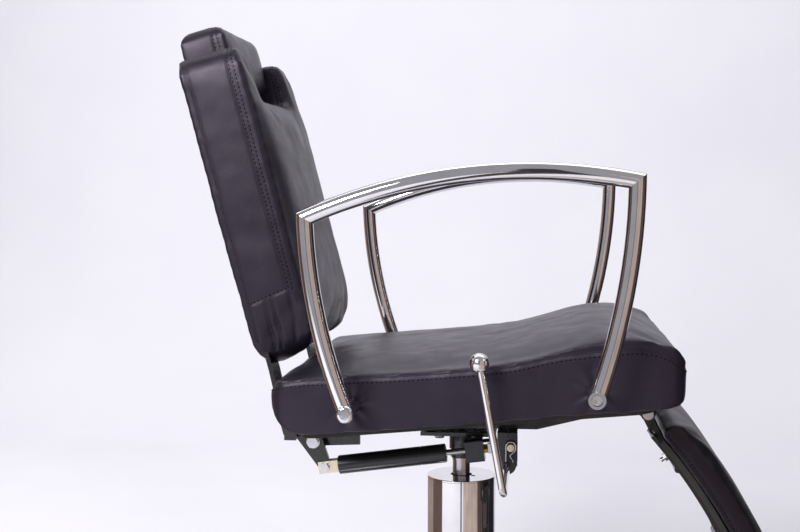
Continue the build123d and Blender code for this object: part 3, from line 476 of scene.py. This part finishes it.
def make_back():
    bm = bmesh.new()
    rear = [bm.verts.new(from_back(0.0, y, v)) for y, v in BACK_OUTLINE]
    front = [bm.verts.new(from_back(BACK_THICK, y, v)) for y, v in BACK_OUTLINE]
    bm.faces.new(rear)
    bm.faces.new(front[::-1])
    for i in range(len(rear)):
        j = (i + 1) % len(rear)
        bm.faces.new((rear[j], rear[i], front[i], front[j]))
    bmesh.ops.recalc_face_normals(bm, faces=bm.faces)
    bmesh.ops.triangulate(bm, faces=bm.faces)
    mesh = bpy.data.meshes.new("back_leather")
    bm.to_mesh(mesh)
    bm.free()
    obj = new_piece("back_leather", mesh)
    voxels(obj, 0.005)
    n, y, v = to_back(points(obj))
    low, high = back_depths(y, v)
    share = np.clip(n / BACK_THICK, 0, 1)
    place(obj, from_back(low + share * (high - low), y, v))
    slim(obj, 0.0010, 4)

    def held(p):
        n, y, v = to_back(p)
        rear_face = 1 - smoothstep(n, 0.004, 0.012)
        seam = np.exp(-((n - 0.071) / 0.006) ** 2) * (v > 0.02)
        return np.clip(np.maximum(rear_face, seam), 0, 1)

    swell(obj, held, 0.009)
    n, y, v = to_back(points(obj))
    crown = smoothstep(n, 0.060, 0.080) * (1 - (y / 0.20) ** 2)
    crown = crown * smoothstep(v, BACK_LOW, 0.08) * (1 - smoothstep(v, 0.27, 0.37))
    place(obj, from_back(n + 0.006 * np.clip(crown, 0, 1), y, v))
    refine(obj)
    p = points(obj)
    place(obj, p + normals(obj) * (wobble(p, 0.075, 3) * 0.0007 + wobble(p, 0.028, 8) * 0.00025)[:, None])

    def around(n_at, low_v):
        upper = [tuple(q) for q in BACK_OUTLINE if q[1] > low_v + 0.002]
        run = [(-BACK_HALF, low_v), *upper, (BACK_HALF, low_v)]
        return [from_back(n_at, y, v) for y, v in run]

    rings = [around(BACK_SEAM_N[0], 0.033), around(BACK_SEAM_N[1], 0.030)]
    piping = around(0.0075, -0.03)
    hems, gathers = [], []
    for side in (-BACK_HALF, BACK_HALF):
        hem, *rest = [[from_back(n, side, v) for n, v in run] for run in SIDE_SEAMS]
        hems.append(hem)
        gathers.append(rest)
    lines = [*rings, piping, hems[0], *gathers[0], hems[1], *gathers[1]]
    groove(obj, lines, 0.0014, 0.0032)
    finish_soft(obj, "back", 0.8, "back_cushion", "back_panel")
    trim("back", obj, rings + hems, [piping, *gathers[0][:2], *gathers[1][:2]], "back")


# the seat: a firm block with a crowned top, a raised front and a stitched seam round its sides
SEAT_SEAM = ((-0.243, 0.466), (-0.216, 0.474), (-0.143, 0.479), (-0.065, 0.484), (0.026, 0.492), (0.077, 0.498),
             (0.115, 0.507), (0.140, 0.513), (0.191, 0.520), (0.240, 0.525), (0.272, 0.520), (0.304, 0.498))
BOSSES = ((-0.1273, 0.4441), (0.1851, 0.4672))


def seat_ring(lift=0.0):
    corners = [(SEAT_REAR, -SEAT_HALF), (SEAT_FRONT, -SEAT_HALF),
               (SEAT_FRONT, SEAT_HALF), (SEAT_REAR, SEAT_HALF)]
    outline = rounded(corners, [0.034] * 4)
    outline.append(outline[0])
    plan = along([(x, y, 0) for x, y in outline], 0.01)
    height = np.interp(plan[:, 0], *zip(*SEAT_SEAM))
    return np.column_stack((plan[:, :2], height + lift))


def make_seat():
    obj = from_node("seat_leather", "seat_cushion")
    voxels(obj, 0.005)
    slim(obj, 0.0012, 3)

    def held(p):
        seam = np.interp(p[:, 0], *zip(*SEAT_SEAM))
        rim = (np.abs(p[:, 1]) > 0.225) | (p[:, 0] > 0.285) | (p[:, 0] < -0.22)
        line = np.exp(-((p[:, 2] - seam) / 0.006) ** 2) * rim
        floor = 0.400 + (p[:, 0] + 0.196) * 0.0954
        below = 1 - smoothstep(p[:, 2] - floor, 0.002, 0.012)
        dent = np.zeros(len(p))
        for x, z in BOSSES:
            far = np.hypot(p[:, 0] - x, p[:, 2] - z)
            dent = np.maximum(dent, (1 - smoothstep(far, 0.012, 0.03)) * (np.abs(p[:, 1]) > 0.23))
        return np.clip(np.maximum.reduce((line, below, dent)), 0, 1)

    swell(obj, held, 0.010)
    p = points(obj)
    top = smoothstep(normals(obj)[:, 2], 0.3, 0.8)
    crown = (1 - (p[:, 1] / 0.255) ** 2) * smoothstep(p[:, 0], -0.24, -0.12)
    crown = crown * (1 - smoothstep(p[:, 0], 0.22, 0.31))
    p[:, 2] += 0.006 * np.clip(crown, 0, 1) * top
    place(obj, p)
    refine(obj)
    p = points(obj)
    push = wobble(p, 0.085, 1) * 0.0009 + wobble(p, 0.030, 5) * 0.0003
    for x, z in BOSSES:
        flat = np.hypot(p[:, 0] - x, p[:, 2] - z)
        turn = np.arctan2(p[:, 2] - z, p[:, 0] - x)
        near = np.exp(-(flat / 0.032) ** 2) * (np.abs(p[:, 1]) > 0.23)
        push -= near * (0.0030 + 0.0012 * np.cos(7 * turn + 0.8))
    place(obj, p + normals(obj) * push[:, None])
    lines = [seat_ring(), seat_ring(-0.0065)]
    groove(obj, lines[:1], 0.0016, 0.0035)
    finish_soft(obj, "seat", 0.85, "seat_cushion")
    trim("seat", obj, lines[1:], lines[:1], "seat")


def make_headrest():
    obj = from_node("headrest_leather", "headrest_pad")
    voxels(obj, 0.004)
    slim(obj, 0.0010, 4)
    half = float(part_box("headrest_pad")[1][1])

    def held(p):
        n = to_back(p)[0]
        return np.clip(np.exp(-((n - 0.044) / 0.005) ** 2) + (1 - smoothstep(n, -0.006, 0.0)), 0, 1)

    swell(obj, held, 0.006)
    refine(obj)
    p = points(obj)
    place(obj, p + normals(obj) * (wobble(p, 0.05, 6) * 0.0007)[:, None])
    box = rounded([(-half, 0.326), (-half, 0.420), (half, 0.420), (half, 0.326)], [0.022] * 4)
    box.append(box[0])
    lines = [[from_back(n, y, v) for y, v in box] for n in (0.043, 0.049)]
    groove(obj, lines, 0.0012, 0.003)
    finish_soft(obj, "headrest", 0.8, "headrest_pad")
    trim("headrest", obj, lines, [], "headrest")


def make_legrest():
    obj = from_node("legrest_leather", "legrest_pad")
    voxels(obj, 0.005)
    slim(obj, 0.0015, 4)

    def reach(p):
        return np.hypot(p[:, 0] - LEG_AXIS[0], p[:, 2] - LEG_AXIS[2])

    def held(p):
        r = reach(p)
        return np.clip(np.exp(-((r - LEG_SEAM_R) / 0.005) ** 2) + (1 - smoothstep(r, 0.725, 0.729)), 0, 1)

    swell(obj, held, 0.007)
    refine(obj)
    p = points(obj)
    place(obj, p + normals(obj) * (wobble(p, 0.07, 2) * 0.0008)[:, None])
    half = float(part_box("legrest_pad")[1][1])
    turns = np.radians(np.linspace(41.2, 20.6, 30))
    lines = [[LEG_AXIS + np.array((LEG_SEAM_R * math.cos(a), y, LEG_SEAM_R * math.sin(a))) for a in turns]
             for y in (-half, half)]
    groove(obj, lines, 0.0012, 0.003)
    # the legrest gets the darker copy of the leather, as painted shade
    finish_soft(obj, "legrest", 0.75, "legrest_pad", cover=leg_leather_painted_shade)
    trim("legrest", obj, lines, [], "legrest")


make_back()
make_seat()
make_headrest()
make_legrest()


# ---------------------------------------------------------------- stage
def see_through_from_behind(mat):
    """Clear the rear side of a wall, so that a camera standing behind it still sees the chair."""
    nodes, links = mat.node_tree.nodes, mat.node_tree.links
    output = next(n for n in nodes if n.type == "OUTPUT_MATERIAL")
    front = output.inputs["Surface"].links[0].from_socket
    side = nodes.new("ShaderNodeNewGeometry")
    clear = nodes.new("ShaderNodeBsdfTransparent")
    mix = nodes.new("ShaderNodeMixShader")
    links.new(side.outputs["Backfacing"], mix.inputs["Fac"])
    links.new(front, mix.inputs[1])
    links.new(clear.outputs[0], mix.inputs[2])
    links.new(mix.outputs[0], output.inputs["Surface"])


def make_sweep():
    """The pale floor, curving up into a backdrop behind the chair."""
    profile = [(-2.6, 0.0), (1.5, 0.0)]
    profile += [(1.5 + 0.9 * math.sin(a), 0.9 - 0.9 * math.cos(a)) for a in np.linspace(0.1, math.pi / 2, 14)]
    profile += [(2.4, 4.2)]
    verts = [(x, y, z) for y, z in profile for x in (-4.5, 4.5)]
    faces = [(2 * i, 2 * i + 1, 2 * i + 3, 2 * i + 2) for i in range(len(profile) - 1)]
    mesh = bpy.data.meshes.new("floor")
    mesh.from_pydata(verts, [], faces)
    mesh.shade_smooth()
    obj = bpy.data.objects.new("floor", mesh)
    s = Shader("floor", (0.83, 0.82, 0.86), 0.75, specular=0.2)
    s.vary_colour(s.noise(2.5, 2), (0.82, 0.81, 0.855), (0.84, 0.83, 0.87))
    see_through_from_behind(s.mat)
    obj.data.materials.append(s.mat)
    bpy.context.scene.collection.objects.link(obj)


def make_sector(name, start, end, colour, top=1.7, near=0.45, far=2.5):
    """Flooring and wall seen only in reflections, over a range of degrees from the camera's side."""
    turns = [math.radians(a) for a in np.linspace(start, end, 6)]
    rings = [(near, 0.004), (far, 0.004), (far, top)]
    verts = [(r * math.sin(a), -r * math.cos(a), z) for r, z in rings for a in turns]
    count = len(turns)
    faces = [(k * count + i, k * count + i + 1, (k + 1) * count + i + 1, (k + 1) * count + i)
             for k in range(2) for i in range(count - 1)]
    mesh = bpy.data.meshes.new(name)
    mesh.from_pydata(verts, [], faces)
    s = Shader(name, colour, 0.6, specular=0.2)
    s.vary_colour(s.noise(5, 3), [c * 0.75 for c in colour], colour)
    mesh.materials.append(s.mat)
    obj = new_piece(name, mesh)
    obj.visible_camera = False
    obj.visible_diffuse = False
    obj.visible_shadow = False


def make_area(name, where, target, size, power):
    data = bpy.data.lights.new(name, "AREA")
    data.shape = "RECTANGLE"
    data.size, data.size_y = size
    data.energy = power
    obj = bpy.data.objects.new(name, data)
    obj.location = where
    obj.rotation_euler = (Vector(target) - Vector(where)).to_track_quat("-Z", "Y").to_euler()
    bpy.context.scene.collection.objects.link(obj)


make_sweep()
world = bpy.data.worlds.new("studio")
world.use_nodes = True
world.node_tree.nodes["Background"].inputs["Color"].default_value = (0.88, 0.87, 0.95, 1)
world.node_tree.nodes["Background"].inputs["Strength"].default_value = 0.40
bpy.context.scene.world = world

make_area("key", (-1.3, -2.3, 1.9), (-0.2, 0, 0.7), (1.1, 0.9), 72)
make_area("fill", (2.3, -1.2, 1.9), (0, 0, 0.6), (1.0, 1.4), 4)
make_area("top", (0.2, 0.6, 3.0), (0, 0, 0.4), (2.6, 1.6), 15)
make_area("rim", (-2.3, 0.9, 1.4), (0, 0, 0.6), (1.0, 1.6), 10)
make_area("wall_wash", (0.0, 0.6, 3.3), (0.0, 2.4, 0.9), (5.0, 0.6), 30)
make_sector("room_tan", -150, -104, (0.34, 0.26, 0.21))
make_sector("room_brown", -104, -62, (0.13, 0.080, 0.065))
make_sector("room_seam", 1, 5, (0.05, 0.04, 0.04))
make_sector("room_peach", 10, 58, (0.60, 0.48, 0.40))
make_sector("room_umber", 58, 96, (0.11, 0.070, 0.058))
make_sector("room_dark", 96, 145, (0.012, 0.012, 0.015))

camera_data = bpy.data.cameras.new("camera")
camera_data.sensor_width = 36
camera_data.lens = 55.44
camera = bpy.data.objects.new("camera", camera_data)
camera.location = (0.1106, -1.8217, 0.7269)
camera.rotation_euler = (math.pi / 2 - 0.063, 0, 0.111)
bpy.context.scene.collection.objects.link(camera)
bpy.context.scene.camera = camera
bpy.context.scene.view_settings.view_transform = "Standard"

bpy.context.view_layer.update()
